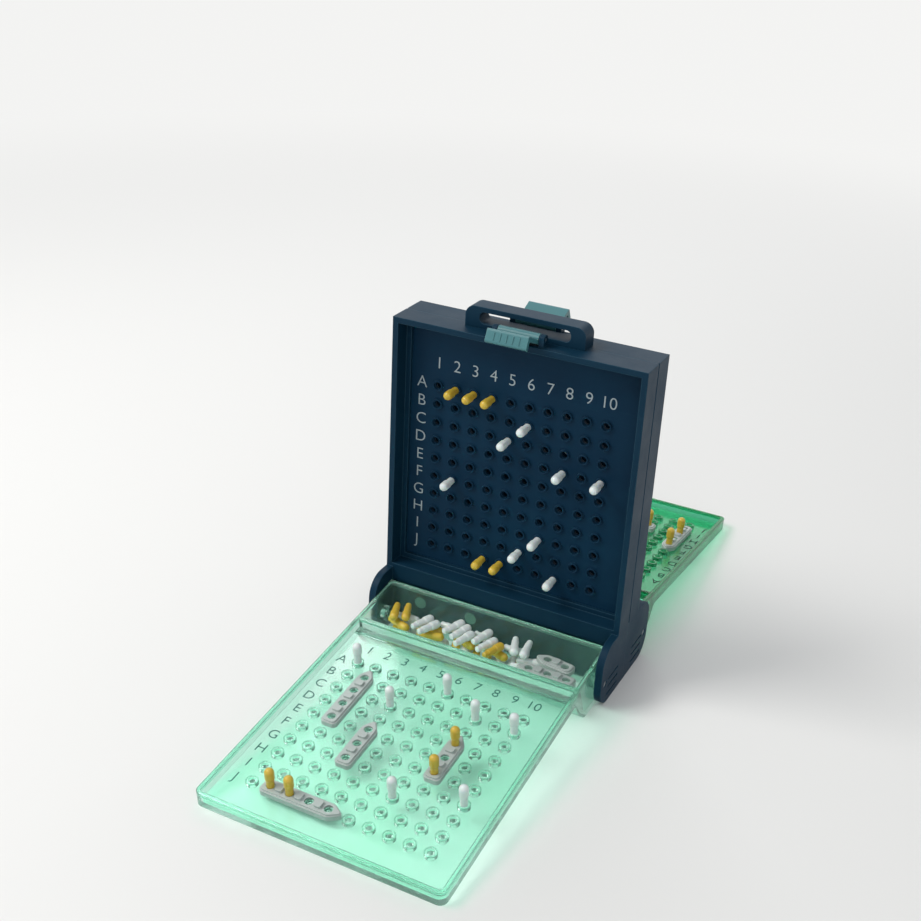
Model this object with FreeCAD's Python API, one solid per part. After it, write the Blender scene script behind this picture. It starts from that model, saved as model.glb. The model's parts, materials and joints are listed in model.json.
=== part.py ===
import FreeCAD, Part
import math
import os
import random

# Two-player fleet guessing case, in millimetres.
# An upright two-sided screen stands between two see-through fleet trays. Each tray
# swings up on a hinge at the screen's foot and closes flat against the screen's face.
# +X runs along the screen, +Z is up, and -Y is the front player's side.
# The origin is on the table, under the middle of the screen.

Vector = FreeCAD.Vector

# Peg grid
PITCH = 8.0                # hole to hole, on the screen and on the trays
GRID = 10                  # holes along each side of a grid
SIDE_MARGIN = 16.8         # outermost hole to the outside of the screen
FRONT_MARGIN = 16.1        # last tray row to the outside of the tray's front wall
SHIFT_HALF_ROWS = 15       # half rows from a folded tray's first row to the screen's: odd, so pegs pass

# Screen
HALF_DEPTH = 11.2          # middle of the screen to either face
FRAME_WALL = 2.4
RECESS = 8.6               # face of the frame to the face of the hole panel
PANEL_T = 1.6
PANEL_GAP = 0.2            # hole panel's edge to the frame
LIP_W = 2.2                # stop that each hole panel seats on
LIP_T = 1.4
RAIL_H = 7.5               # height of the rail under the hole panel
SEAM = 0.5                 # chamfer where the two frames meet
PAD_R = 2.5                # spacer pads between the two hole panels
RING_R = 2.2               # ring round each hole of the panel
RING_H = 1.0
RING_FIT = 0.15            # ring to the neck of the peg that seats in it

# Ears that carry the tray hinges
EAR_T = 3.0
EAR_REACH = 14.5           # ear's front edge, forward of the screen's face
EAR_H = 27.0
EAR_TOP_R = 9.0
EAR_FOOT_R = 9.0
GRIP_COUNT = 3             # grip grooves on the outside of each ear
GRIP_PITCH = 3.6
GRIP_W = 1.0
GRIP_DEPTH = 0.6
GRIP_L = 11.0

# Tray
EAR_GAP = 0.3              # tray's end to the ear
TRAY_WALL = 1.8
FLOOR_T = 1.6
RIM_H = 4.0                # rim above the tray's floor
CORNER_R = 3.0
ROW_A = 39.9               # hinge axis to the first row of holes
COLLAR_R = 2.4
COLLAR_H = 1.6
HOLE_R = 1.35

# Bin at the back of each tray, and the hinge
AXIS_H = 10.4              # hinge axis above the table
RIM_RISE = 9.9             # hinge axis to the plane of the tray's rim
BIN_FRONT = 17.5           # hinge axis to the inside of the bin's front wall
BIN_DRAFT = 6.0            # lean of the bin's front wall
BIN_ROUND = 6.5
FOLD_GAP = 0.4             # folded tray to the screen's face, and to the table
SWING_GAP = 0.8            # bin's swinging corner to the foot wall
PIN_R = 1.5
PIN_FIT = 0.05             # radial running clearance on hinge and latch pins
PIN_INSET = 0.3            # pin's end below the ear's outside
PIN_BOSS_R = 3.2
PIN_BOSS_L = 3.0

# Latches on top of the screen
LATCH_W = 17.0
LATCH_T = 1.6
LATCH_LIFT = 25.0          # degrees that the open latch stands up
LATCH_HOOK = 5.4           # hook's depth, top to tip
LATCH_HOOK_T = 1.8
LATCH_BARREL_R = 2.0
LATCH_PIN_R = 0.8
LATCH_AXIS_BACK = 3.2      # latch axis behind the screen's face
LUG_T = 2.0
LUG_GAP = 0.25

# Strap loop on top of the screen
LOOP_W = 50.0
LOOP_T = 8.0
LOOP_H = 8.6
LOOP_BAR = 2.0             # bar over the strap slot
LOOP_LEG = 6.0
LOOP_BASE = 2.0
LOOP_R = 4.0
TONGUE_W = 44.0
TONGUE_L = 9.0
TONGUE_FIT = 0.1

# Screws that hold the two frames together
SCREW_R = 1.3
SCREW_HEAD_R = 2.6
SCREW_HEAD_H = 1.5
SCREW_BOSS_R = 3.4
SCREW_SPAN = (14.0, 38.0)  # distances from the middle
SCREW_BITE = 0.9           # screw's length past the seam, as a share of its boss

# Pegs
SHANK_R = 1.25
SHANK_L = 2.4
NECK_R = 1.5
NECK_L = 3.8
HEAD_R = 1.8
HEAD_L = 5.2
TIP_CHAMFER = 0.3

# Ships
SHIP_W = 6.6
SHIP_H = 3.6               # flat bottom to the top of the deckhouses
SHIP_SIDE_H = 2.0
SHIP_DECK_H = 2.6
SHIP_STEP = 0.6            # deck's set-in from the sides
SHIP_OVERHANG = 3.4        # last hole to the stern
SHIP_SHOULDER = 1.0        # last hole to where the bow starts to narrow
SHIP_BOW = 5.6             # last hole to the point of the bow, before rounding
SHIP_FIT = 0.2             # round each collar, and round each peg
HOUSE_W = 3.4              # deckhouses between the holes
HOUSE_GAP = 0.9            # deckhouse to the hole's edge
HOUSE_R = 0.7

# Loose pegs in the bins
HEAP_LAYERS = 4
HEAP_GAP = 0.15
HEAP_SWAY = 24.0           # degrees that pegs stray from their layer's direction
HEAP_TRIES = 9000
HEAP_HOLD = 1              # lower pegs that each upper peg lies across
HEAP_YELLOW_SHARE = 0.36
HEAP_SEED = 4

# Sizes worked out from those above
SPAN = (GRID - 1) * PITCH
SCREEN_W = SPAN + 2 * SIDE_MARGIN
HALF_W = SCREEN_W / 2
TRAY_L = ROW_A + SPAN + FRONT_MARGIN
SCREEN_H = AXIS_H + TRAY_L + FOLD_GAP / 2
ROW_A_Z = AXIS_H + ROW_A + SHIFT_HALF_ROWS * PITCH / 2
AXIS_Y = -(HALF_DEPTH + FOLD_GAP + RIM_RISE)
BIN_BACK = AXIS_H - FOLD_GAP
SWING_R = math.hypot(BIN_BACK, RIM_RISE)
FOOT_FACE = -(AXIS_Y + SWING_R + SWING_GAP)
RAIL_Z = AXIS_H + math.sqrt(SWING_R ** 2 - RIM_RISE ** 2) + SWING_GAP
LEDGE_Z = RAIL_Z + RAIL_H
FLOOR_Z = RIM_RISE - RIM_H
FLOOR_LOW = FLOOR_Z - FLOOR_T
DROOP = math.asin(AXIS_H / math.hypot(TRAY_L, FLOOR_LOW)) + math.atan2(FLOOR_LOW, TRAY_L)
FOLD_ANGLE = 90.0 + math.degrees(DROOP)
TRAY_HALF_W = HALF_W - EAR_T - EAR_GAP
PANEL_FACE = HALF_DEPTH - RECESS
PANEL_BACK = PANEL_FACE - PANEL_T
PEG_L = NECK_L + HEAD_L
LATCH_AXIS_Y = -(HALF_DEPTH - LATCH_AXIS_BACK)
LATCH_AXIS_Z = SCREEN_H + FOLD_GAP + LATCH_BARREL_R + LUG_GAP
LATCH_REACH = HALF_DEPTH + 2 * FOLD_GAP + RIM_H + FLOOR_T + LATCH_HOOK_T


def at_plane(plane, u, v, offset):
    """Point (u, v) of a drawing plane, moved off it by offset."""
    if plane == "yz":
        return Vector(offset, u, v)
    if plane == "xz":
        return Vector(u, offset, v)
    return Vector(u, v, offset)


def normal_of(plane):
    return {"yz": Vector(1, 0, 0), "xz": Vector(0, 1, 0), "xy": Vector(0, 0, 1)}[plane]


def prism(plane, corners, low, high):
    """Solid between two offsets from a closed outline of (u, v, corner radius)."""
    count = len(corners)
    entries, exits, arcs = [], [], []
    for i, (u, v, radius) in enumerate(corners):
        here = Vector(u, v, 0)
        before = Vector(*corners[i - 1][:2], 0) - here
        after = Vector(*corners[(i + 1) % count][:2], 0) - here
        before.normalize()
        after.normalize()
        if radius == 0:
            entries.append(here)
            exits.append(here)
            arcs.append(None)
            continue
        half = before.getAngle(after) / 2
        middle = before + after
        middle.normalize()
        run = radius / math.tan(half)
        entries.append(here + before * run)
        exits.append(here + after * run)
        arcs.append(here + middle * (radius / math.sin(half) - radius))
    edges = []
    for i in range(count):
        start, bend, end = (at_plane(plane, p.x, p.y, low) if p else None
                            for p in (entries[i], arcs[i], exits[i]))
        if bend:
            edges.append(Part.Arc(start, bend, end).toShape())
        following = entries[(i + 1) % count]
        target = at_plane(plane, following.x, following.y, low)
        if (target - end).Length > 1e-6:
            edges.append(Part.LineSegment(end, target).toShape())
    return Part.Face(Part.Wire(edges)).extrude(normal_of(plane) * (high - low))


def block(x0, x1, y0, y1, z0, z1):
    return Part.makeBox(x1 - x0, y1 - y0, z1 - z0, Vector(x0, y0, z0))


def rod(start, direction, radius, length):
    return Part.makeCylinder(radius, length, start, direction)


def join(first, others):
    return first.fuse(others).removeSplitter()


def to_rear(shape):
    """Half a turn about the middle of the screen: the rear player's side."""
    return shape.copy().rotate(Vector(), Vector(0, 0, 1), 180)


def to_rest(shape):
    """From the tray's own frame, axis at the origin and floor level, to the open tray."""
    shape = shape.copy()
    shape.rotate(Vector(), Vector(1, 0, 0), math.degrees(DROOP))
    shape.translate(Vector(0, AXIS_Y, AXIS_H))
    return shape


def column_x(column):
    return (column - (GRID - 1) / 2) * PITCH


def tray_row_y(row):
    return -(ROW_A + row * PITCH)


def screen_row_z(row):
    return ROW_A_Z - row * PITCH


def all_holes():
    return [(column, row) for column in range(GRID) for row in range(GRID)]


def table_line(y, lift=0.0):
    """Height, in the tray's own frame, of a line that rests lift above the table."""
    return (lift - AXIS_H - y * math.sin(DROOP)) / math.cos(DROOP)


def back_wall(inset, lift):
    """Top and foot of the bin's upright back wall, in the tray's own frame."""
    lean = math.tan(DROOP)
    top = (BIN_BACK - inset / math.cos(DROOP), RIM_RISE)
    start = top[0] - RIM_RISE * lean
    foot_y = (start * math.cos(DROOP) + (lift - AXIS_H) * math.sin(DROOP))
    return top, (foot_y, table_line(foot_y, lift))


def bin_foot_y():
    return -BIN_FRONT + BIN_DRAFT


def fleet_tray():
    """Tray, ringed sockets and bin in one see-through moulding, in its own frame."""
    top, foot = back_wall(0, 0)
    inner_top, inner_foot = back_wall(TRAY_WALL, TRAY_WALL)
    front_foot = bin_foot_y() - TRAY_WALL
    outline = [(-TRAY_L, RIM_RISE, 0), (-TRAY_L, FLOOR_LOW, 0),
               (-BIN_FRONT - 2 * TRAY_WALL, FLOOR_LOW, 2 * TRAY_WALL),
               (front_foot, table_line(front_foot), BIN_ROUND), (*foot, 0), (*top, 0)]
    body = prism("yz", outline, -TRAY_HALF_W, TRAY_HALF_W)
    plan = [(-TRAY_HALF_W, -TRAY_L, CORNER_R), (TRAY_HALF_W, -TRAY_L, CORNER_R),
            (TRAY_HALF_W, 2 * BIN_BACK, 0), (-TRAY_HALF_W, 2 * BIN_BACK, 0)]
    body = body.common(prism("xy", plan, -3 * AXIS_H, 3 * RIM_RISE))
    inside = TRAY_HALF_W - TRAY_WALL
    well = [(-inside, -TRAY_L + TRAY_WALL, CORNER_R - TRAY_WALL / 2),
            (inside, -TRAY_L + TRAY_WALL, CORNER_R - TRAY_WALL / 2),
            (inside, -BIN_FRONT - TRAY_WALL, 0), (-inside, -BIN_FRONT - TRAY_WALL, 0)]
    hollow = [(-BIN_FRONT, 2 * RIM_RISE, 0), (-BIN_FRONT, RIM_RISE, 0),
              (bin_foot_y(), table_line(bin_foot_y(), TRAY_WALL), BIN_ROUND - TRAY_WALL),
              (*inner_foot, 0), (*inner_top, 0), (inner_top[0], 2 * RIM_RISE, 0)]
    body = body.cut([prism("xy", well, FLOOR_Z, 2 * RIM_RISE), prism("yz", hollow, -inside, inside)])
    up = Vector(0, 0, 1)
    spots = [Vector(column_x(c), tray_row_y(r), FLOOR_Z) for c, r in all_holes()]
    collars = [rod(spot, up, COLLAR_R, COLLAR_H) for spot in spots]
    bosses = [rod(Vector(side * (inside - PIN_BOSS_L), 0, 0), Vector(side, 0, 0), PIN_BOSS_R, PIN_BOSS_L)
              for side in (-1, 1)]
    body = join(body, collars + bosses)
    sockets = [rod(spot - up * FLOOR_T, up, HOLE_R, FLOOR_T + COLLAR_H) for spot in spots]
    bearings = [rod(Vector(side * (inside - PIN_BOSS_L / 2), 0, 0), Vector(side, 0, 0),
                    PIN_R + PIN_FIT, TRAY_WALL + PIN_BOSS_L) for side in (-1, 1)]
    return body.cut(sockets + bearings)


def hinge_pins():
    """Two short pins, fixed in the ears, that the tray turns on."""
    tip = TRAY_HALF_W - TRAY_WALL - PIN_BOSS_L / 2 + EAR_GAP
    end = HALF_W - PIN_INSET
    return [rod(Vector(side * tip, AXIS_Y, AXIS_H), Vector(side, 0, 0), PIN_R, end - tip) for side in (-1, 1)]


def ear(side):
    """Cheek beside the bin, with grip grooves on its outside."""
    reach = -(HALF_DEPTH + EAR_REACH)
    outline = [(0, 0, 0), (0, EAR_H, 0), (reach, EAR_H, EAR_TOP_R), (reach, 0, EAR_FOOT_R)]
    low, high = sorted((side * (HALF_W - EAR_T), side * HALF_W))
    plate = prism("yz", outline, low, high)
    skin, outside = sorted((side * (HALF_W - GRIP_DEPTH), side * (HALF_W + GRIP_DEPTH)))
    first = AXIS_Y + 2 * PIN_R
    grooves = [block(skin, outside, first, first + GRIP_L, z - GRIP_W / 2, z + GRIP_W / 2)
               for z in (GRIP_PITCH * (i + 1) for i in range(GRIP_COUNT))]
    return plate.cut(grooves)


def latch_lugs():
    """Two upright lugs on the frame's top wall that hold the latch pin."""
    shapes = []
    for side in (-1, 1):
        inner = side * (LATCH_W / 2 + LUG_GAP)
        low, high = sorted((inner, inner + side * LUG_T))
        back = LATCH_AXIS_Y + LATCH_BARREL_R
        front = LATCH_AXIS_Y - LATCH_BARREL_R
        top = LATCH_AXIS_Z + LATCH_BARREL_R
        outline = [(back, SCREEN_H - FRAME_WALL, 0), (back, top, 0.9 * LATCH_BARREL_R),
                   (front, top, 0.9 * LATCH_BARREL_R), (front, SCREEN_H - FRAME_WALL, 0)]
        shapes.append(prism("yz", outline, low, high))
    return shapes


def screw_spots():
    """Boss places on one frame: (x, True where the screw's head sits on this frame)."""
    return [(side * x, side < 0) for side in (-1, 1) for x in SCREW_SPAN]


def screen_frame():
    """One half of the screen: deep rim, rail, foot wall, ears and latch lugs."""
    inner = HALF_W - FRAME_WALL
    face = -HALF_DEPTH
    seam = [(-HALF_W, face, 0), (HALF_W, face, 0), (HALF_W, -SEAM, 0), (HALF_W - SEAM, 0, 0),
            (-HALF_W + SEAM, 0, 0), (-HALF_W, -SEAM, 0)]
    upper = prism("xy", seam, RAIL_Z, SCREEN_H)
    upper = upper.cut([
        block(-inner, inner, face, 0, LEDGE_Z, SCREEN_H - FRAME_WALL),
        block(-inner, inner, face + FRAME_WALL, 0, RAIL_Z, LEDGE_Z - FRAME_WALL)])
    lip_inner = inner - LIP_W
    lip = block(-inner, inner, -PANEL_FACE - LIP_T, -PANEL_FACE, LEDGE_Z, SCREEN_H - FRAME_WALL)
    lip = lip.cut(block(-lip_inner, lip_inner, face, 0, LEDGE_Z + LIP_W, SCREEN_H - FRAME_WALL - LIP_W))
    foot = block(-inner, inner, -FOOT_FACE, -FOOT_FACE + FRAME_WALL, 0, LEDGE_Z - FRAME_WALL)
    back_of_foot = -FOOT_FACE + FRAME_WALL
    along = Vector(0, 1, 0)
    spots = [(Vector(x, -FOOT_FACE, RAIL_Z / 2), head) for x, head in screw_spots()]
    bosses = [rod(spot + along * FRAME_WALL, along, SCREW_BOSS_R, -back_of_foot) for spot, head in spots]
    frame = join(upper, [lip, foot, ear(-1), ear(1)] + bosses + latch_lugs())
    cuts = [rod(Vector(side * (HALF_W - EAR_T), AXIS_Y, AXIS_H), Vector(side, 0, 0), PIN_R, EAR_T)
            for side in (-1, 1)]
    for spot, head in spots:
        if head:
            cuts.append(rod(spot, along, SCREW_R + PIN_FIT, FOOT_FACE))
            cuts.append(rod(spot, along, SCREW_HEAD_R + PIN_FIT, SCREW_HEAD_H))
        else:
            start = Vector(spot.x, -screw_bite(), spot.z)
            cuts.append(rod(start, along, SCREW_R, screw_bite()))
    slot = TONGUE_W / 2 + TONGUE_FIT
    cuts.append(block(-slot, slot, -PANEL_BACK, 0, SCREEN_H - FRAME_WALL, SCREEN_H))
    lug_end = LATCH_W / 2 + LUG_GAP + LUG_T
    cuts.append(rod(Vector(-lug_end, LATCH_AXIS_Y, LATCH_AXIS_Z), Vector(1, 0, 0), LATCH_PIN_R, 2 * lug_end))
    return frame.cut(cuts)


def screw_bite():
    """Screw's length past the seam, into the far frame's boss."""
    return SCREW_BITE * (FOOT_FACE - FRAME_WALL)


def frame_screws():
    """Screws through both foot walls, half of them from each side."""
    along = Vector(0, 1, 0)
    screws = []
    for x, head in screw_spots():
        if head:
            start = Vector(x, -FOOT_FACE, RAIL_Z / 2)
            shaft = rod(start, along, SCREW_R, FOOT_FACE + screw_bite())
            screws.append(join(rod(start, along, SCREW_HEAD_R, SCREW_HEAD_H), [shaft]))
    return screws + [to_rear(screw) for screw in screws]


def target_panel():
    """Plate of ringed peg holes, seated on the frame's lip, with spacer pads on its back."""
    inner = HALF_W - FRAME_WALL - PANEL_GAP
    low = LEDGE_Z + PANEL_GAP
    high = SCREEN_H - FRAME_WALL - PANEL_GAP
    plate = block(-inner, inner, -PANEL_FACE, -PANEL_BACK, low, high)
    along = Vector(0, 1, 0)
    edge = inner - 2 * PAD_R
    middle = (low + high) / 2
    pads = [rod(Vector(x, -PANEL_BACK, z), along, PAD_R, PANEL_BACK)
            for x in (-edge, edge) for z in (low + 2 * PAD_R, middle, high - 2 * PAD_R)]
    spots = [Vector(column_x(c), -PANEL_FACE, screen_row_z(r)) for c, r in all_holes()]
    rings = [rod(spot, -along, RING_R, RING_H) for spot in spots]
    seats = [rod(spot, -along, NECK_R + RING_FIT, RING_H) for spot in spots]
    holes = [rod(spot, along, HOLE_R, PANEL_T) for spot in spots]
    return join(plate, pads + rings).cut(seats + holes)


def latch():
    """Hooked latch on its pin, lifted clear of the tray's path."""
    half = LATCH_W / 2
    low = SCREEN_H + FOLD_GAP
    tip = low + LATCH_T - LATCH_HOOK
    outside = -LATCH_REACH
    grip = outside + LATCH_HOOK_T
    outline = [(LATCH_AXIS_Y, low, 0), (grip, low, 0), (grip, tip, 0), (outside, tip, LATCH_HOOK_T / 2),
               (outside, low + LATCH_T, LATCH_T / 2), (LATCH_AXIS_Y, low + LATCH_T, 0)]
    along = Vector(1, 0, 0)
    centre = Vector(0, LATCH_AXIS_Y, LATCH_AXIS_Z)
    start = centre - along * half
    body = join(prism("yz", outline, -half, half), [rod(start, along, LATCH_BARREL_R, LATCH_W)])
    body = body.cut(rod(start, along, LATCH_PIN_R + PIN_FIT, LATCH_W))
    return body.rotate(centre, along, -LATCH_LIFT)


def latch_pin():
    lug_end = LATCH_W / 2 + LUG_GAP + LUG_T
    return rod(Vector(-lug_end, LATCH_AXIS_Y, LATCH_AXIS_Z), Vector(1, 0, 0), LATCH_PIN_R, 2 * lug_end)


def strap_loop():
    """Low loop with a slot for a strap, on a tongue held between the two hole panels."""
    base = SCREEN_H
    half = LOOP_W / 2
    top = base + LOOP_H
    loop = prism("xz", [(-half, base, 0), (half, base, 0), (half, top, LOOP_R), (-half, top, LOOP_R)],
                 -LOOP_T / 2, LOOP_T / 2)
    slot_half = half - LOOP_LEG
    low, high = base + LOOP_BASE, top - LOOP_BAR
    slot_r = 0.45 * (high - low)
    slot = prism("xz", [(-slot_half, low, slot_r), (slot_half, low, slot_r), (slot_half, high, slot_r),
                        (-slot_half, high, slot_r)], -LOOP_T, LOOP_T)
    tongue = PANEL_BACK - TONGUE_FIT
    stem = block(-TONGUE_W / 2, TONGUE_W / 2, -tongue, tongue, base - TONGUE_L, base)
    return join(loop.cut(slot), [stem])


def peg():
    """One peg along +Z, its shoulder at the origin."""
    side = [Vector(0, 0, -SHANK_L), Vector(SHANK_R - TIP_CHAMFER, 0, -SHANK_L),
            Vector(SHANK_R, 0, -SHANK_L + TIP_CHAMFER), Vector(SHANK_R, 0, 0), Vector(NECK_R, 0, 0),
            Vector(NECK_R, 0, NECK_L), Vector(HEAD_R, 0, NECK_L + 2 * (HEAD_R - NECK_R)),
            Vector(HEAD_R, 0, PEG_L - HEAD_R)]
    edges = [Part.LineSegment(a, b).toShape() for a, b in zip(side, side[1:])]
    top = Vector(0, 0, PEG_L)
    bend = Vector(HEAD_R * math.sin(math.pi / 4), 0, PEG_L - HEAD_R + HEAD_R * math.cos(math.pi / 4))
    edges.append(Part.Arc(side[-1], bend, top).toShape())
    edges.append(Part.LineSegment(top, side[0]).toShape())
    return Part.Face(Part.Wire(edges)).revolve(Vector(), Vector(0, 0, 1), 360)


def placed_peg(point, pitch_angle, yaw=0.0):
    """A peg at a point, tipped about X and then turned about Z."""
    shape = peg()
    shape.rotate(Vector(), Vector(1, 0, 0), pitch_angle)
    shape.rotate(Vector(), Vector(0, 0, 1), yaw)
    shape.translate(point)
    return shape


def screen_pegs(spots):
    return [placed_peg(Vector(column_x(c), -PANEL_FACE, screen_row_z(r)), 90) for c, r in spots]


def tray_pegs(spots):
    return [to_rest(placed_peg(Vector(column_x(c), tray_row_y(r), FLOOR_Z + COLLAR_H), 0)) for c, r in spots]


def ship(holes):
    """Ship along +Y with its stern hole at the origin and its flat bottom at z = 0."""
    length = (holes - 1) * PITCH

    def hull(inset, low, high):
        side = SHIP_W / 2 - inset
        stern = -SHIP_OVERHANG + inset
        shoulder = length + SHIP_SHOULDER
        outline = [(-side, stern, side / 2), (side, stern, side / 2), (side, shoulder, side),
                   (0, length + SHIP_BOW - inset, side / 4), (-side, shoulder, side)]
        return prism("xy", outline, low, high)

    def house(first_hole):
        low = first_hole * PITCH + NECK_R + SHIP_FIT + HOUSE_GAP
        high = (2 * first_hole + 1) * PITCH - low
        outline = [(-HOUSE_W / 2, low, HOUSE_R), (HOUSE_W / 2, low, HOUSE_R),
                   (HOUSE_W / 2, high, HOUSE_R), (-HOUSE_W / 2, high, HOUSE_R)]
        return prism("xy", outline, SHIP_DECK_H, SHIP_H)

    deck = hull(SHIP_STEP, SHIP_SIDE_H, SHIP_DECK_H)
    body = join(hull(0, 0, SHIP_SIDE_H), [deck] + [house(i) for i in range(holes - 1)])
    up = Vector(0, 0, 1)
    cuts = []
    for i in range(holes):
        centre = Vector(0, i * PITCH, 0)
        cuts.append(rod(centre, up, COLLAR_R + SHIP_FIT, COLLAR_H + SHIP_FIT))
        cuts.append(rod(centre, up, NECK_R + SHIP_FIT, SHIP_H))
    return body.cut(cuts)


def moored_ship(column, row, holes, along_row):
    """A ship over the tray's collars, from its stern hole on towards the bow."""
    shape = ship(holes)
    if along_row:
        shape.rotate(Vector(), Vector(0, 0, 1), -90)
    shape.translate(Vector(column_x(column), tray_row_y(row), FLOOR_Z))
    return to_rest(shape)


def cross(first, second):
    """True where two flat line segments cross."""
    def side_of(p, a, b):
        return (b - a).cross(p - a).z

    a, b = first
    c, d = second
    return side_of(a, c, d) * side_of(b, c, d) < 0 and side_of(c, a, b) * side_of(d, a, b) < 0


def apart(first, second, least):
    """True where two flat line segments stay at least a given distance apart."""
    def to_segment(p, a, b):
        run = b - a
        share = max(0.0, min(1.0, (p - a).dot(run) / run.dot(run)))
        return (p - a - run * share).Length

    a, b = first
    c, d = second
    ends = (to_segment(a, c, d), to_segment(b, c, d), to_segment(c, a, b), to_segment(d, a, b))
    return min(ends) >= least and not cross(first, second)


def heap_level(layer):
    return TRAY_WALL + HEAP_GAP + layer * (2 * HEAD_R + HEAP_GAP)


def heap_area(layer):
    """Room for loose pieces in one layer: x limit, and front and back limits."""
    rest = FreeCAD.Rotation(Vector(1, 0, 0), math.degrees(DROOP))
    rim = rest.multVec(Vector(0, -BIN_FRONT, RIM_RISE))
    foot = rest.multVec(Vector(0, bin_foot_y(), table_line(bin_foot_y(), TRAY_WALL)))
    climb = (heap_level(layer) - TRAY_WALL) / (rim.z - foot.z)
    front = AXIS_Y + foot.y + climb * (rim.y - foot.y)
    if layer == 0:
        front += (BIN_ROUND - TRAY_WALL) / 2
    back = AXIS_Y + rest.multVec(Vector(0, *back_wall(TRAY_WALL, TRAY_WALL)[1])).y
    return TRAY_HALF_W - TRAY_WALL - PIN_BOSS_L, front, back


def spare_ship_lines(spots):
    """Middle lines, in plan, of the loose ships on top of the heap, from the stern hole."""
    side, front, back = heap_area(HEAP_LAYERS - 1)
    lines = []
    for inset, lane, holes, yaw in spots:
        heading = Vector(-math.sin(math.radians(yaw)), math.cos(math.radians(yaw)), 0)
        across = (lane + 0.5) * (SHIP_W + HEAP_GAP)
        stern = Vector(side - SHIP_OVERHANG - HEAP_GAP - inset, front + HEAP_GAP + across, 0)
        lines.append((stern, stern + heading * ((holes - 1) * PITCH + SHIP_BOW - SHIP_W / 2)))
    return lines


def spare_ships(spots):
    ships = []
    for spot, (stern, end) in zip(spots, spare_ship_lines(spots)):
        shape = ship(spot[2])
        shape.rotate(Vector(), Vector(0, 0, 1), spot[3])
        shape.translate(stern + Vector(0, 0, heap_level(HEAP_LAYERS - 1)))
        ships.append(shape)
    return ships


def spare_pegs(seed, ship_spots):
    """Loose pegs lying in layers in the bin, laid from end to end: white ones and yellow ones."""
    draw = random.Random(seed)
    low = HEAD_R + HEAP_GAP
    white, yellow, below = [], [], []
    for layer in range(HEAP_LAYERS):
        side, front, back = heap_area(layer)
        ships = spare_ship_lines(ship_spots) if layer == HEAP_LAYERS - 1 else []
        taken, bearing = [], []
        for attempt in range(HEAP_TRIES):
            yaw = 90 * (layer + 1) + 180 * draw.randrange(2) + draw.uniform(-HEAP_SWAY, HEAP_SWAY)
            heading = Vector(-math.sin(math.radians(yaw)), math.cos(math.radians(yaw)), 0)
            along = low - side + 2 * (side - low) * attempt / HEAP_TRIES
            tail = Vector(along, draw.uniform(front + low, back - low), 0)
            tip = tail + heading * (SHANK_L + PEG_L)
            line = (tail, tip)
            if not (-side + low < tip.x < side - low and front + low < tip.y < back - low):
                continue
            if not all(apart(line, other, 2 * low) for other in taken):
                continue
            if not all(apart(line, other, SHIP_W / 2 + SHIP_STEP + low) for other in ships):
                continue
            stout = (tail + heading * SHANK_L, tip - heading * HEAD_R)
            if layer > 0 and sum(cross(stout, other) for other in below) < HEAP_HOLD:
                continue
            taken.append(line)
            bearing.append(stout)
            piece = placed_peg(stout[0] + Vector(0, 0, heap_level(layer) + HEAD_R), -90, yaw)
            lean = (side - tail.x) / side
            (yellow if draw.random() < HEAP_YELLOW_SHARE * lean else white).append(piece)
        below = bearing
    return white, yellow


def build_side(label, layout, place, seed):
    """All pieces of one player's side, with the layout of its pegs and ships."""
    parts = {
        "screen_frame": [screen_frame()],
        "target_panel": [target_panel()],
        "hinge_pins": hinge_pins(),
        "latch": [latch()],
        "latch_pin": [latch_pin()],
        "fleet_tray": [to_rest(fleet_tray())],
        "target_white_pegs": screen_pegs(layout["target_white"]),
        "target_yellow_pegs": screen_pegs(layout["target_yellow"]),
        "tray_white_pegs": tray_pegs(layout["tray_white"]),
        "tray_yellow_pegs": tray_pegs(layout["tray_yellow"]),
    }
    for name, spot in layout["ships"].items():
        parts[name] = [moored_ship(*spot)]
    parts["spare_ships"] = spare_ships(layout["spare_ships"])
    white, yellow = spare_pegs(seed, layout["spare_ships"])
    parts["spare_white_pegs"], parts["spare_yellow_pegs"] = white, yellow
    for name, solids in parts.items():
        export(label + "_" + name, [place(solid) for solid in solids])


def export(node, solids):
    shape = solids[0] if len(solids) == 1 else Part.makeCompound(solids)
    if not shape.isValid():
        raise RuntimeError(node + " is not a valid solid")
    shape.exportStep(os.path.join("parts", node + ".step"))


# Pegs by (column, row), counted from the player's far left corner. A ship is
# (column, row) of its stern hole, its number of holes, and whether it lies along a row.
# A spare ship is its distance from the bin's end, its lane, its holes and its turn.
def front_layout():
    return {
        "target_white": [(5, 1), (4, 2), (1, 5), (7, 3), (9, 3), (6, 7), (5, 8), (7, 9)],
        "target_yellow": [(1, 0), (2, 0), (3, 0), (3, 9), (4, 9)],
        "tray_white": [(0, 0), (3, 2), (5, 0), (7, 1), (9, 1), (9, 6), (6, 7)],
        "tray_yellow": [(1, 9), (2, 9), (7, 5), (7, 3)],
        "ships": {"battleship": (1, 4, 4, False), "cruiser": (3, 6, 3, False),
                  "submarine": (7, 5, 3, False), "carrier": (1, 9, 4, True)},
        "spare_ships": [(0, 0, 3, 90), (4, 1.2, 2, 82)],
    }


def rear_layout():
    return {
        "target_white": [(2, 2), (6, 3), (8, 1), (3, 6), (7, 6), (1, 8), (5, 5)],
        "target_yellow": [(4, 4), (5, 4), (6, 4), (8, 8)],
        "tray_white": [(1, 3), (4, 1), (2, 4), (8, 4), (6, 8)],
        "tray_yellow": [(0, 7), (2, 7), (0, 5), (3, 8), (4, 4)],
        "ships": {"battleship": (0, 8, 4, False), "cruiser": (2, 7, 3, True),
                  "submarine": (4, 5, 3, False), "carrier": (5, 2, 4, True)},
        "spare_ships": [(0, 0, 3, 90), (4, 1.2, 2, 82)],
    }


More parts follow.
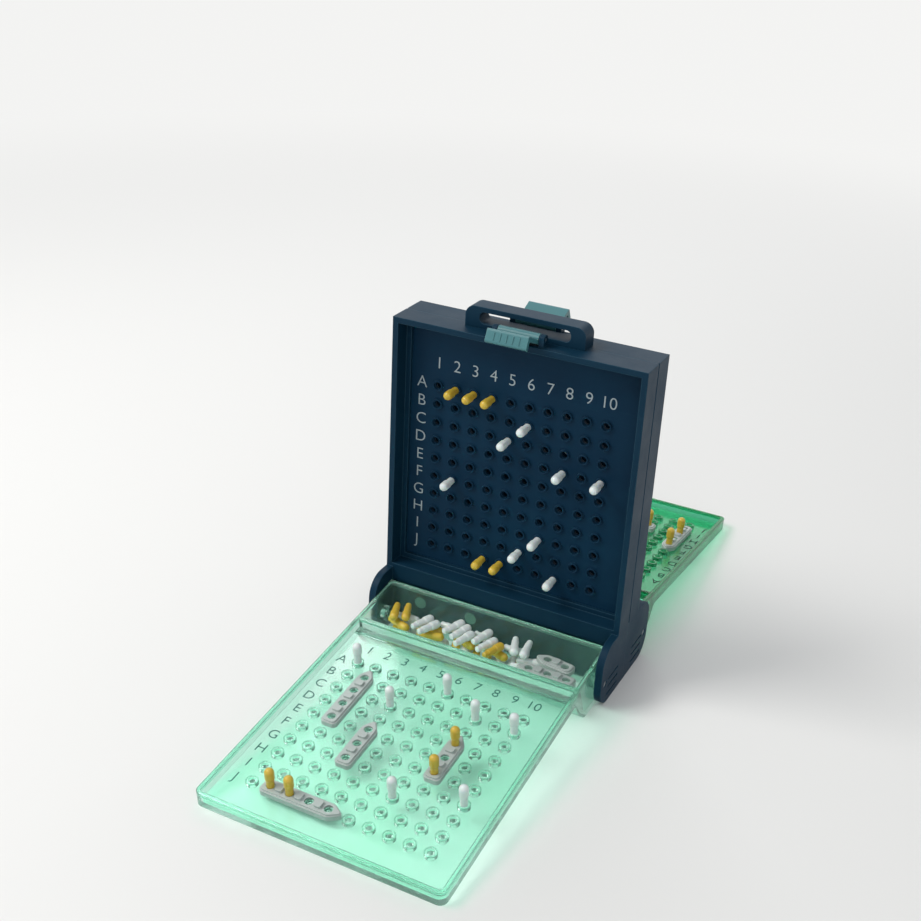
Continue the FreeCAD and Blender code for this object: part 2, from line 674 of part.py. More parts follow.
def main():
    os.makedirs("parts", exist_ok=True)
    build_side("front", front_layout(), lambda solid: solid, HEAP_SEED)
    build_side("rear", rear_layout(), to_rear, HEAP_SEED + 1)
    export("strap_loop", [strap_loop()])
    export("frame_screws", frame_screws())
    print("droop %.3f, fold %.3f, screen %.1f x %.1f, axis %.2f %.2f" % (
        math.degrees(DROOP), FOLD_ANGLE, SCREEN_W, SCREEN_H, AXIS_Y, AXIS_H))


main()
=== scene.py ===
import json
import math

import bmesh
import bpy
from mathutils import Matrix, Vector


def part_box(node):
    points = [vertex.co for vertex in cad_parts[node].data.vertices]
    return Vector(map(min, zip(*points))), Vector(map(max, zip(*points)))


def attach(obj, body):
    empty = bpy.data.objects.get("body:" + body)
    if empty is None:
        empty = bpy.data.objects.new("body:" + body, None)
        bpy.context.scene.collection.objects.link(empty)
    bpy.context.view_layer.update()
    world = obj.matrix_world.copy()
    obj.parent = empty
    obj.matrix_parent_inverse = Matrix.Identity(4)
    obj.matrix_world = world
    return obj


# Fleet guessing case: a dark two-sided peg screen between two see-through green trays.
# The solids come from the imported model. This script dresses them: moulded plastics,
# printed grid marks, rounded hole rims, rounded tray rims and latch ribs.
# Lengths are in metres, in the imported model's frame.

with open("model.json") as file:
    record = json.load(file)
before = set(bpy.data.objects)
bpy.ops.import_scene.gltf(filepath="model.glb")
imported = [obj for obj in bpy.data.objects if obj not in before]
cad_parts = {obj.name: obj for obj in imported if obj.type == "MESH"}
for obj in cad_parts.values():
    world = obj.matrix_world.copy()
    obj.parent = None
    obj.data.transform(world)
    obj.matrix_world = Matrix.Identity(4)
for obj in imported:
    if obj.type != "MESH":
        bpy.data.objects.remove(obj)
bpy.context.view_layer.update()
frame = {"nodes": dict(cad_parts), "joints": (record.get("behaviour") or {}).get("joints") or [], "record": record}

MM = 0.001


def box_from(name, place):
    """Lowest and highest corner of a solid, measured in a place of its own."""
    back = place.inverted()
    points = [back @ vertex.co for vertex in frame["nodes"][name].data.vertices]
    low = Vector([min(point[axis] for point in points) for axis in range(3)])
    high = Vector([max(point[axis] for point in points) for axis in range(3)])
    return low, high


# Hole grids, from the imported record
joints = {joint["name"]: joint for joint in frame["joints"]}
mounts = {mount["name"]: mount for mount in frame["record"]["mounts"]}
last_target = mounts["front_target_hole"]      # last hole of the screen's first row
last_socket = mounts["front_tray_socket"]      # last hole of the tray's last row
GRID = 10
ROW_LETTERS = "ABCDEFGHIJ"
PITCH = last_target["pos_m"][0] / ((GRID - 1) / 2)
SPAN = (GRID - 1) * PITCH
ROW_A_Z = last_target["pos_m"][2]
PANEL_FACE = -last_target["pos_m"][1] + last_target["dims"]["length_mm"] * MM / 2
RING_H = -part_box("front_target_panel")[0].y - PANEL_FACE       # rings stand proud of the panel's face
SCREEN_PLACE = Matrix(((1, 0, 0, 0), (0, 0, -1, -PANEL_FACE), (0, 1, 0, ROW_A_Z), (0, 0, 0, 1)))

# Front tray, about its hinge axis: a socket's middle lies on the tray's floor
HINGE = Vector(joints["front_tray_fold"]["pos_m"])
DROOP = math.atan2(-last_socket["axis"][1], last_socket["axis"][2])
TRAY_PLACE = Matrix.Translation(HINGE) @ Matrix.Rotation(DROOP, 4, "X")
socket_place = TRAY_PLACE.inverted() @ Vector(last_socket["pos_m"])
ROW_A = -socket_place.y - SPAN                 # hinge axis to the tray's first row
FLOOR_Z = socket_place.z
COLLAR_H = last_socket["dims"]["length_mm"] * MM / 2
TRAY_LOW, TRAY_HIGH = box_from("front_fleet_tray", TRAY_PLACE)
TRAY_WALL = 1.8 * MM
BIN_FRONT = 17.5 * MM                          # hinge axis to the inside of the bin's front wall

# Front latch: it rests lifted, and its sizes are those of the closed latch
LATCH_AXIS = Vector(joints["front_latch_turn"]["pos_m"])
LATCH_LIFT = math.radians(joints["front_latch_turn"]["range_deg"][1])
LATCH_PLACE = (Matrix.Translation(LATCH_AXIS) @ Matrix.Rotation(-LATCH_LIFT, 4, "X")
               @ Matrix.Translation(-LATCH_AXIS))
LATCH_LOW = box_from("front_latch", LATCH_PLACE)[0]

# Each side's pieces are the front ones, turned about the upright axis
SIDES = {"front": Matrix.Identity(4), "rear": Matrix.Rotation(math.pi, 4, "Z")}

# Printed marks
MARK_THICK = 0.10 * MM
MARK_THINNING = 0.010          # taken off each side of a stroke, as a share of the mark's size
SCREEN_MARK_SIZE = 7.0 * MM
TRAY_MARK_SIZE = 6.2 * MM
NUMBER_RISE = 9.4 * MM         # first row to the row of numbers
LETTER_OUT = 7.4 * MM          # first column to the letters

# Rounded tops of the screen's rings, the tray's collars and the tray's rim
RING_BEAD_AT = 1.925 * MM      # radius of the circle that a ring's bead follows
COLLAR_BEAD_AT = 2.16 * MM
HOLE_BEAD = 0.26 * MM
HOLE_BEAD_SINK = 0.14 * MM     # bead's middle below the top that it rounds
HOLE_STEPS = 16
HOLE_BEAD_STEPS = 5
RIM_BEAD = 0.92 * MM
RIM_BEAD_SINK = 0.68 * MM
RIM_BEAD_STEPS = 14
RIM_CORNER = 2.1 * MM
RIM_CORNER_STEPS = 6

# Thumb ribs on the latch's hook
RIB_COUNT = 5
RIB_PITCH = 2.6 * MM
RIB_R = 0.32 * MM
RIB_L = 3.0 * MM
RIB_RISE = 2.75 * MM           # hook's tip to the middle of the ribs
RIB_STEPS = 10

# Camera of the photograph, fitted to its two hole grids
CAMERA_AT = Vector((0.189966, -0.439778, 0.315831))
CAMERA_RIGHT = Vector((0.886786, 0.459924, 0.045609))
CAMERA_UP = Vector((-0.237284, 0.368373, 0.898887))
CAMERA_LENS = 52.2407
CAMERA_SENSOR = 36.0

# Depth of the fine relief in the finishes
GRAIN_HEIGHT = 0.12 * MM
STREAK_HEIGHT = 0.05 * MM

# Studio
PALE = (0.90, 0.90, 0.89, 1)   # backdrop as it is seen, away from the object
SKY = (0.93, 0.95, 0.97, 1)
SKY_STRENGTH = 0.5
PAPER = (0.80, 0.80, 0.79, 1)
PAPER_ROUGHNESS = 0.85
PAPER_HALF = 6.0
FADE_START, FADE_END = 0.35, 1.1       # reach over which the floor turns to the backdrop
LAMPS = {
    "key_lamp": {"at": (-0.70, -0.45, 0.95), "aim": (0, -0.04, 0.05), "size": (0.6, 0.5),
                 "power": 9.2, "colour": (1.0, 0.98, 0.95)},
    "fill_lamp": {"at": (0.45, -0.90, 0.55), "aim": (0, 0, 0.06), "size": (0.6, 0.6),
                  "power": 1.4, "colour": (0.95, 0.97, 1.0)},
    "rim_lamp": {"at": (-0.25, 0.8, 0.8), "aim": (0, 0, 0.08), "size": (0.8, 0.3),
                 "power": 3.0, "colour": (1.0, 1.0, 1.0)},
}


# Node helpers

MIX_A, MIX_B, MIX_RESULT = 6, 7, 2     # colour sockets of a mix node


def node(tree, kind, links=None, **settings):
    """New node with its settings, its inputs set to plain values or linked from sockets."""
    made = tree.nodes.new(kind)
    for label, value in settings.items():
        setattr(made, label, value)
    for label, source in (links or {}).items():
        if isinstance(source, bpy.types.NodeSocket):
            tree.links.new(source, made.inputs[label])
        else:
            made.inputs[label].default_value = source
    return made


def new_group(kind, name, inputs, outputs):
    """Node group with named inputs and outputs, given as name and kind of socket."""
    tree = bpy.data.node_groups.new(name, kind)
    for label, socket in inputs.items():
        tree.interface.new_socket(label, in_out="INPUT", socket_type=socket)
    for label, socket in outputs.items():
        tree.interface.new_socket(label, in_out="OUTPUT", socket_type=socket)
    return tree, tree.nodes.new("NodeGroupInput").outputs, tree.nodes.new("NodeGroupOutput").inputs


def new_material(name):
    """New material with its node tree and its main shader."""
    material = bpy.data.materials.new(name)
    material.use_nodes = True
    return material, material.node_tree, material.node_tree.nodes["Principled BSDF"]


# Shared surface effects

def moulded_surface():
    """Spark-eroded grain, uneven gloss and softly rounded edges of a moulding."""
    tree, given, out = new_group(
        "ShaderNodeTree", "moulded_surface",
        {"Grain Scale": "NodeSocketFloat", "Grain Depth": "NodeSocketFloat",
         "Gloss Low": "NodeSocketFloat", "Gloss High": "NodeSocketFloat",
         "Edge Radius": "NodeSocketFloat"},
        {"Roughness": "NodeSocketFloat", "Normal": "NodeSocketVector", "Edge": "NodeSocketFloat"})
    place = node(tree, "ShaderNodeTexCoord").outputs["Object"]
    grain = node(tree, "ShaderNodeTexNoise",
                 {"Vector": place, "Scale": given["Grain Scale"], "Detail": 3.0})
    cloud = node(tree, "ShaderNodeTexNoise",
                 {"Vector": place, "Scale": 42.0, "Detail": 5.0, "Roughness": 0.6})
    gloss = node(tree, "ShaderNodeMapRange",
                 {"Value": cloud.outputs["Fac"], "From Min": 0.3, "From Max": 0.7,
                  "To Min": given["Gloss Low"], "To Max": given["Gloss High"]})
    soft = node(tree, "ShaderNodeBevel", {"Radius": given["Edge Radius"]}, samples=6)
    bump = node(tree, "ShaderNodeBump",
                {"Height": grain.outputs["Fac"], "Strength": given["Grain Depth"],
                 "Distance": GRAIN_HEIGHT, "Normal": soft.outputs["Normal"]})
    flat = node(tree, "ShaderNodeNewGeometry")
    turn = node(tree, "ShaderNodeVectorMath",
                {0: soft.outputs["Normal"], 1: flat.outputs["Normal"]}, operation="DOT_PRODUCT")
    edge = node(tree, "ShaderNodeMapRange",
                {"Value": turn.outputs["Value"], "From Min": 0.995, "From Max": 0.86})
    tree.links.new(gloss.outputs["Result"], out["Roughness"])
    tree.links.new(bump.outputs["Normal"], out["Normal"])
    tree.links.new(edge.outputs["Result"], out["Edge"])
    return tree


def handling_marks_and_edge_sheen():
    """Plastic colour with cloudy pigment, faint hairline scuffs, and edges turned to the rubbed colour: partly
    worn edges, partly a painted highlight where that colour is lighter.
    """
    tree, given, out = new_group(
        "ShaderNodeTree", "handling_marks_and_edge_sheen",
        {"Colour": "NodeSocketColor", "Deep Colour": "NodeSocketColor",
         "Rubbed Colour": "NodeSocketColor", "Edge": "NodeSocketFloat",
         "Edge Rub And Sheen": "NodeSocketFloat", "Scuffs": "NodeSocketFloat"},
        {"Colour": "NodeSocketColor"})
    place = node(tree, "ShaderNodeTexCoord").outputs["Object"]
    cloud = node(tree, "ShaderNodeTexNoise", {"Vector": place, "Scale": 28.0, "Detail": 4.0})
    pigment = node(tree, "ShaderNodeMapRange",
                   {"Value": cloud.outputs["Fac"], "From Min": 0.35, "From Max": 0.68})
    base = node(tree, "ShaderNodeMix",
                {"Factor": pigment.outputs["Result"], MIX_A: given["Colour"],
                 MIX_B: given["Deep Colour"]},
                data_type="RGBA")
    stretch = node(tree, "ShaderNodeMapping",
                   {"Vector": place, "Rotation": (0.4, 0.9, 0.6), "Scale": (30.0, 420.0, 420.0)})
    hair = node(tree, "ShaderNodeTexNoise",
                {"Vector": stretch.outputs["Vector"], "Scale": 1.0, "Detail": 5.0, "Distortion": 0.8})
    scuff = node(tree, "ShaderNodeMapRange",
                 {"Value": hair.outputs["Fac"], "From Min": 0.60, "From Max": 0.74})
    scuffed = node(tree, "ShaderNodeMath",
                   {0: scuff.outputs["Result"], 1: given["Scuffs"]}, operation="MULTIPLY")
    # Edge mask times the rub amount, plus scuffs: the scuffs are wear, and the edge part is partly wear, partly a
    # painted highlight.
    rub_and_sheen_mask = node(tree, "ShaderNodeMath",
                  {0: given["Edge"], 1: given["Edge Rub And Sheen"], 2: scuffed.outputs["Value"]},
                  operation="MULTIPLY_ADD")
    worn_and_sheen = node(tree, "ShaderNodeMix",
                {"Factor": rub_and_sheen_mask.outputs["Value"], MIX_A: base.outputs[MIX_RESULT],
                 MIX_B: given["Rubbed Colour"]},
                data_type="RGBA")
    tree.links.new(worn_and_sheen.outputs[MIX_RESULT], out["Colour"])
    return tree


# Finishes

def plastic(effects, name, colours, gloss, grain, edge, rub_and_sheen, scuffs, **sockets):
    """Moulded plastic from the two shared effects. Its colours are plain, deep and rubbed; the rubbed colour on
    the edges is partly wear, partly a painted highlight.
    """
    material, tree, shader = new_material(name)
    surface, marks = effects
    skin = node(tree, "ShaderNodeGroup", node_tree=surface)
    skin.inputs["Gloss Low"].default_value, skin.inputs["Gloss High"].default_value = gloss
    skin.inputs["Grain Scale"].default_value, skin.inputs["Grain Depth"].default_value = grain
    skin.inputs["Edge Radius"].default_value = edge
    tint = node(tree, "ShaderNodeGroup", {"Edge": skin.outputs["Edge"]}, node_tree=marks)
    for label, colour in zip(("Colour", "Deep Colour", "Rubbed Colour"), colours):
        tint.inputs[label].default_value = (*colour, 1)
    tint.inputs["Edge Rub And Sheen"].default_value = rub_and_sheen
    tint.inputs["Scuffs"].default_value = scuffs
    tree.links.new(tint.outputs["Colour"], shader.inputs["Base Color"])
    tree.links.new(skin.outputs["Roughness"], shader.inputs["Roughness"])
    tree.links.new(skin.outputs["Normal"], shader.inputs["Normal"])
    for label, value in sockets.items():
        shader.inputs[label.replace("_", " ")].default_value = value
    return material


def clear_plastic(effects, name, colours, lamp_tint):
    """See-through plastic. Lamplight passes it and takes its tint, so what lies below is lit."""
    material = plastic(effects, name, colours, gloss=(0.10, 0.20), grain=(1700.0, 0.10), edge=0.3 * MM,
                       rub_and_sheen=0.15, scuffs=0.03, Transmission_Weight=0.96, IOR=1.49)
    tree = material.node_tree
    clear = node(tree, "ShaderNodeBsdfTransparent", {"Color": (*lamp_tint, 1)})
    path = node(tree, "ShaderNodeLightPath")
    mix = node(tree, "ShaderNodeMixShader",
               {"Fac": path.outputs["Is Shadow Ray"], 1: tree.nodes["Principled BSDF"].outputs["BSDF"],
                2: clear.outputs["BSDF"]})
    tree.links.new(mix.outputs["Shader"], tree.nodes["Material Output"].inputs["Surface"])
    return material


def drawn_steel(name):
    """Drawn steel wire with fine lengthwise streaks along X."""
    material, tree, shader = new_material(name)
    place = node(tree, "ShaderNodeTexCoord").outputs["Object"]
    stretch = node(tree, "ShaderNodeMapping", {"Vector": place, "Scale": (60.0, 2400.0, 2400.0)})
    streak = node(tree, "ShaderNodeTexNoise",
                  {"Vector": stretch.outputs["Vector"], "Scale": 1.0, "Detail": 4.0})
    rough = node(tree, "ShaderNodeMapRange",
                 {"Value": streak.outputs["Fac"], "To Min": 0.22, "To Max": 0.42})
    bump = node(tree, "ShaderNodeBump",
                {"Height": streak.outputs["Fac"], "Strength": 0.2, "Distance": STREAK_HEIGHT})
    tree.links.new(rough.outputs["Result"], shader.inputs["Roughness"])
    tree.links.new(bump.outputs["Normal"], shader.inputs["Normal"])
    shader.inputs["Base Color"].default_value = (0.56, 0.57, 0.58, 1)
    shader.inputs["Metallic"].default_value = 1.0
    return material


def make_materials():
    """Every finish of the part, by what it is used for."""
    effects = moulded_surface(), handling_marks_and_edge_sheen()
    return {
        "screen": plastic(
            effects, "petrol_screen_plastic",
            ((0.005, 0.030, 0.058), (0.004, 0.024, 0.048), (0.04, 0.11, 0.16)),
            gloss=(0.36, 0.50), grain=(2600.0, 0.28), edge=0.5 * MM, rub_and_sheen=0.5, scuffs=0.05,
            Specular_IOR_Level=0.09),
        "panel": plastic(
            effects, "petrol_panel_plastic",
            ((0.004, 0.029, 0.062), (0.003, 0.022, 0.050), (0.03, 0.09, 0.14)),
            gloss=(0.42, 0.56), grain=(1900.0, 0.4), edge=0.2 * MM, rub_and_sheen=0.4, scuffs=0.04,
            Specular_IOR_Level=0.08),
        # Lighter teal than the screen's plastic: the lightness is painted light, standing for the light that the
        # latch's front face catches.
        "latch": plastic(
            effects, "teal_latch_plastic_painted_lit",
            ((0.052, 0.19, 0.21), (0.042, 0.165, 0.185), (0.22, 0.40, 0.41)),
            gloss=(0.28, 0.4), grain=(2600.0, 0.18), edge=0.3 * MM, rub_and_sheen=0.5, scuffs=0.08),
        "front_tray": clear_plastic(
            effects, "aqua_tray_plastic",
            ((0.66, 0.94, 0.85), (0.61, 0.93, 0.81), (0.80, 0.96, 0.90)),
            lamp_tint=(0.70, 0.87, 0.81)),
        # Deeper green than the front tray: partly a plastic of its own colour, partly darkened as painted shade
        # for a tray that lies behind the screen.
        "rear_tray": clear_plastic(
            effects, "green_tray_plastic_with_painted_shade",
            ((0.13, 0.58, 0.36), (0.11, 0.54, 0.33), (0.32, 0.72, 0.52)),
            lamp_tint=(0.42, 0.76, 0.60)),
        "white_peg": plastic(
            effects, "white_peg_plastic",
            ((0.76, 0.82, 0.81), (0.70, 0.77, 0.76), (0.88, 0.91, 0.90)),
            gloss=(0.22, 0.34), grain=(2600.0, 0.08), edge=0.2 * MM, rub_and_sheen=0.2, scuffs=0.05,
            Subsurface_Weight=0.12, Subsurface_Scale=MM),
        "yellow_peg": plastic(
            effects, "mustard_peg_plastic",
            ((0.67, 0.47, 0.055), (0.59, 0.40, 0.04), (0.80, 0.63, 0.20)),
            gloss=(0.22, 0.34), grain=(2600.0, 0.08), edge=0.2 * MM, rub_and_sheen=0.2, scuffs=0.05,
            Subsurface_Weight=0.10, Subsurface_Scale=MM),
        "ship": plastic(
            effects, "grey_ship_plastic",
            ((0.45, 0.51, 0.49), (0.39, 0.45, 0.43), (0.62, 0.67, 0.65)),
            gloss=(0.30, 0.44), grain=(2300.0, 0.2), edge=0.3 * MM, rub_and_sheen=0.5, scuffs=0.10),
        "screen_print": plastic(
            effects, "grey_grid_print",
            ((0.38, 0.44, 0.47), (0.31, 0.37, 0.40), (0.12, 0.19, 0.23)),
            gloss=(0.45, 0.6), grain=(3200.0, 0.25), edge=0.04 * MM, rub_and_sheen=0.1, scuffs=0.5),
        "front_tray_print": plastic(
            effects, "dark_grid_print",
            ((0.012, 0.13, 0.11), (0.010, 0.10, 0.085), (0.10, 0.45, 0.34)),
            gloss=(0.4, 0.55), grain=(3200.0, 0.25), edge=0.04 * MM, rub_and_sheen=0.1, scuffs=0.4),
        "rear_tray_print": plastic(
            effects, "deep_grid_print",
            ((0.004, 0.030, 0.024), (0.003, 0.024, 0.019), (0.03, 0.16, 0.11)),
            gloss=(0.5, 0.65), grain=(3200.0, 0.25), edge=0.04 * MM, rub_and_sheen=0.1, scuffs=0.3,
            Specular_IOR_Level=0.15),
        "steel": drawn_steel("drawn_steel"),
    }


def finish_of(name):
    """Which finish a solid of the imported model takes, by what it is."""
    if name.endswith("white_pegs"):
        return "white_peg"
    if name.endswith("yellow_pegs"):
        return "yellow_peg"
    if name.endswith("fleet_tray"):
        return name.split("_")[0] + "_tray"
    if name.endswith("target_panel"):
        return "panel"
    if name.endswith("_latch"):
        return "latch"
    if name.endswith(("_pins", "_pin", "screws")):
        return "steel"
    if name.endswith(("screen_frame", "strap_loop")):
        return "screen"
    return "ship"


def dress_nodes(materials):
    for name, piece in frame["nodes"].items():
        piece.data.materials.clear()
        piece.data.materials.append(materials[finish_of(name)])


# Repeated trim from geometry nodes

def new_trim_tree(name, inputs):
    """Geometry tree with named inputs, its material among them, and one geometry output."""
    return new_group("GeometryNodeTree", name, {**inputs, "Material": "NodeSocketMaterial"},
                     {"Geometry": "NodeSocketGeometry"})


def finish_tree(tree, shape, given, out):
    """End of a geometry tree: one smooth mesh with its material."""
    whole = node(tree, "GeometryNodeRealizeInstances", {"Geometry": shape})
    smooth = node(tree, "GeometryNodeSetShadeSmooth", {"Geometry": whole.outputs["Geometry"]})
    painted = node(tree, "GeometryNodeSetMaterial",
                   {"Geometry": smooth.outputs["Geometry"], "Material": given["Material"]})
    tree.links.new(painted.outputs["Geometry"], out["Geometry"])
    return tree


def hole_rim_tree():
    """A rounded bead on top of the ring round every hole of a square grid."""
    tree, given, out = new_trim_tree("hole_rims", {
        "Holes": "NodeSocketInt", "Span": "NodeSocketFloat", "Ring Radius": "NodeSocketFloat",
        "Bead Radius": "NodeSocketFloat"})
    grid = node(tree, "GeometryNodeMeshGrid",
                {"Size X": given["Span"], "Size Y": given["Span"],
                 "Vertices X": given["Holes"], "Vertices Y": given["Holes"]})
    ring = node(tree, "GeometryNodeCurvePrimitiveCircle",
                {"Resolution": HOLE_STEPS, "Radius": given["Ring Radius"]})
    bead = node(tree, "GeometryNodeCurvePrimitiveCircle",
                {"Resolution": HOLE_BEAD_STEPS, "Radius": given["Bead Radius"]})
    rim = node(tree, "GeometryNodeCurveToMesh",
               {"Curve": ring.outputs["Curve"], "Profile Curve": bead.outputs["Curve"]})
    spread = node(tree, "GeometryNodeInstanceOnPoints",
                  {"Points": grid.outputs["Mesh"], "Instance": rim.outputs["Mesh"]})
    return finish_tree(tree, spread.outputs["Instances"], given, out)


def tray_bead_tree():
    """Rounded bead round a tray's rim, with a cross bar along the bin's front wall."""
    tree, given, out = new_trim_tree("tray_rim_bead", {
        "Width": "NodeSocketFloat", "Length": "NodeSocketFloat", "Corner": "NodeSocketFloat",
        "Bar Start": "NodeSocketVector", "Bar End": "NodeSocketVector",
        "Bead Radius": "NodeSocketFloat"})
    outline = node(tree, "GeometryNodeCurvePrimitiveQuadrilateral",
                   {"Width": given["Width"], "Height": given["Length"]})
    rounded = node(tree, "GeometryNodeFilletCurve",
                   {"Curve": outline.outputs["Curve"], "Radius": given["Corner"],
                    "Count": RIM_CORNER_STEPS},
                   mode="POLY")
    bar = node(tree, "GeometryNodeCurvePrimitiveLine",
               {"Start": given["Bar Start"], "End": given["Bar End"]})
    both = node(tree, "GeometryNodeJoinGeometry", {"Geometry": rounded.outputs["Curve"]})
    tree.links.new(bar.outputs["Curve"], both.inputs["Geometry"])
    bead = node(tree, "GeometryNodeCurvePrimitiveCircle",
                {"Resolution": RIM_BEAD_STEPS, "Radius": given["Bead Radius"]})
    swept = node(tree, "GeometryNodeCurveToMesh",
                 {"Curve": both.outputs["Geometry"], "Profile Curve": bead.outputs["Curve"],
                  "Fill Caps": True})
    return finish_tree(tree, swept.outputs["Mesh"], given, out)


def latch_rib_tree():
    """A row of short rounded ribs for the thumb."""
    tree, given, out = new_trim_tree("latch_ribs", {
        "Ribs": "NodeSocketInt", "Spacing": "NodeSocketVector", "Start": "NodeSocketVector",
        "Rib Bottom": "NodeSocketVector", "Rib Top": "NodeSocketVector",
        "Rib Radius": "NodeSocketFloat"})
    row = node(tree, "GeometryNodeMeshLine",
               {"Count": given["Ribs"], "Start Location": given["Start"], "Offset": given["Spacing"]})
    run = node(tree, "GeometryNodeCurvePrimitiveLine",
               {"Start": given["Rib Bottom"], "End": given["Rib Top"]})
    bead = node(tree, "GeometryNodeCurvePrimitiveCircle",
                {"Resolution": RIB_STEPS, "Radius": given["Rib Radius"]})
    rib = node(tree, "GeometryNodeCurveToMesh",
               {"Curve": run.outputs["Curve"], "Profile Curve": bead.outputs["Curve"],
                "Fill Caps": True})
    spread = node(tree, "GeometryNodeInstanceOnPoints",
                  {"Points": row.outputs["Mesh"], "Instance": rib.outputs["Mesh"]})
    return finish_tree(tree, spread.outputs["Instances"], given, out)


# Pieces

def plain_mesh(holder):
    """Mesh of an object as its curve or modifier leaves it. The object is removed."""
    bpy.context.scene.collection.objects.link(holder)
    bpy.context.view_layer.update()
    graph = bpy.context.evaluated_depsgraph_get()
    mesh = bpy.data.meshes.new_from_object(holder.evaluated_get(graph), depsgraph=graph)
    bpy.data.objects.remove(holder)
    return mesh


def dressed(name, mesh, place, body):
    """New piece from a mesh, put in its place and joined to a body."""
    mesh.transform(place)
    mesh.name = name
    piece = bpy.data.objects.new(name, mesh)
    bpy.context.scene.collection.objects.link(piece)
    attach(piece, body)


def grown(name, tree, values, place, body):
    """New piece from a geometry tree with its inputs by name."""
    seed = bpy.data.objects.new(name + "_seed", bpy.data.meshes.new(name + "_seed"))
    grower = seed.modifiers.new("grow", "NODES")
    grower.node_group = tree
    for item in tree.interface.items_tree:
        if item.in_out == "INPUT":
            grower[item.identifier] = values[item.name]
    dressed(name, plain_mesh(seed), place, body)


def mark_mesh(text, size):
    """Flat raised print of a short mark, centred on the origin, facing +Z."""
    curve = bpy.data.curves.new("mark", "FONT")
    curve.body = text
    curve.size = size
    curve.align_x, curve.align_y = "CENTER", "CENTER"
    curve.extrude = MARK_THICK / 2
    curve.offset = -MARK_THINNING * size
    curve.resolution_u = 4
    return plain_mesh(bpy.data.objects.new("mark", curve))


def grid_marks(name, size, material, place, body):
    """Numbers over the columns and letters beside the rows of one grid."""
    marks = [(str(column + 1), (column * PITCH - SPAN / 2, NUMBER_RISE)) for column in range(GRID)]
    marks += [(letter, (-SPAN / 2 - LETTER_OUT, -row * PITCH)) for row, letter in enumerate(ROW_LETTERS)]
    sheet = bmesh.new()
    for text, (x, y) in marks:
        mesh = mark_mesh(text, size)
        mesh.transform(Matrix.Translation((x, y, MARK_THICK / 2)))
        sheet.from_mesh(mesh)
        bpy.data.meshes.remove(mesh)
    joined = bpy.data.meshes.new(name)
    sheet.to_mesh(joined)
    sheet.free()
    joined.materials.append(material)
    dressed(name, joined, place, body)


def add_hole_rims(side, turn, rims, materials):
    tray = side + "_tray"
    shared = {"Holes": GRID, "Span": SPAN, "Bead Radius": HOLE_BEAD}
    on_screen = Matrix.Translation((0, -SPAN / 2, RING_H - HOLE_BEAD_SINK))
    grown(side + "_screen_hole_rims", rims,
          {**shared, "Ring Radius": RING_BEAD_AT, "Material": materials["panel"]},
          turn @ SCREEN_PLACE @ on_screen, "screen")
    on_tray = Matrix.Translation((0, -ROW_A - SPAN / 2, FLOOR_Z + COLLAR_H - HOLE_BEAD_SINK))
    grown(side + "_tray_hole_rims", rims,
          {**shared, "Ring Radius": COLLAR_BEAD_AT, "Material": materials[tray]},
          turn @ TRAY_PLACE @ on_tray, tray)


def add_rim_bead(side, turn, bead, materials):
    tray = side + "_tray"
    middle = (TRAY_HIGH.y + TRAY_LOW.y) / 2
    bar_x = TRAY_HIGH.x - TRAY_WALL / 2
    bar_y = -BIN_FRONT - TRAY_WALL / 2 - middle
    on_rim = Matrix.Translation((0, middle, TRAY_HIGH.z - RIM_BEAD_SINK))
    grown(side + "_tray_rim_bead", bead,
          {"Width": 2 * TRAY_HIGH.x - TRAY_WALL, "Length": TRAY_HIGH.y - TRAY_LOW.y - TRAY_WALL,
           "Corner": RIM_CORNER, "Bar Start": (-bar_x, bar_y, 0), "Bar End": (bar_x, bar_y, 0),
           "Bead Radius": RIM_BEAD, "Material": materials[tray]},
          turn @ TRAY_PLACE @ on_rim, tray)


def add_latch_ribs(side, turn, ribs, materials):
    on_hook = Matrix.Translation((0, LATCH_LOW.y, LATCH_LOW.z + RIB_RISE))
    grown(side + "_latch_ribs", ribs,
          {"Ribs": RIB_COUNT, "Spacing": (RIB_PITCH, 0, 0),
           "Start": (-(RIB_COUNT - 1) / 2 * RIB_PITCH, 0, 0),
           "Rib Bottom": (0, 0, -RIB_L / 2), "Rib Top": (0, 0, RIB_L / 2), "Rib Radius": RIB_R,
           "Material": materials["latch"]},
          turn @ LATCH_PLACE @ on_hook, side + "_latch")


def add_marks(side, turn, materials):
    tray = side + "_tray"
    grid_marks(side + "_screen_marks", SCREEN_MARK_SIZE, materials["screen_print"],
               turn @ SCREEN_PLACE, "screen")
    grid_marks(side + "_tray_marks", TRAY_MARK_SIZE, materials[tray + "_print"],
               turn @ TRAY_PLACE @ Matrix.Translation((0, -ROW_A, FLOOR_Z)), tray)


def add_trim(materials):
    rims, bead, ribs = hole_rim_tree(), tray_bead_tree(), latch_rib_tree()
    for side, turn in SIDES.items():
        add_hole_rims(side, turn, rims, materials)
        add_rim_bead(side, turn, bead, materials)
        add_latch_ribs(side, turn, ribs, materials)
        add_marks(side, turn, materials)


# Studio

def add_lamp(name, at, aim, size, power, colour):
    """Flat soft lamp turned towards a point."""
    lamp = bpy.data.lights.new(name, "AREA")
    lamp.shape = "RECTANGLE"
    lamp.size, lamp.size_y = size
    lamp.energy = power
    lamp.color = colour
    holder = bpy.data.objects.new(name, lamp)
    holder.location = at
    holder.rotation_mode = "QUATERNION"
    holder.rotation_quaternion = (Vector(aim) - Vector(at)).to_track_quat("-Z", "Y")
    bpy.context.scene.collection.objects.link(holder)


def seen_ray(tree):
    """1 for a ray that shows the backdrop: straight from the camera, or by gloss or glass."""
    path = node(tree, "ShaderNodeLightPath").outputs
    direct = node(tree, "ShaderNodeMath",
                  {0: path["Is Camera Ray"], 1: path["Is Glossy Ray"]}, operation="ADD")
    seen = node(tree, "ShaderNodeMath",
                {0: direct.outputs["Value"], 1: path["Is Transmission Ray"]},
                operation="ADD", use_clamp=True)
    return seen.outputs["Value"]


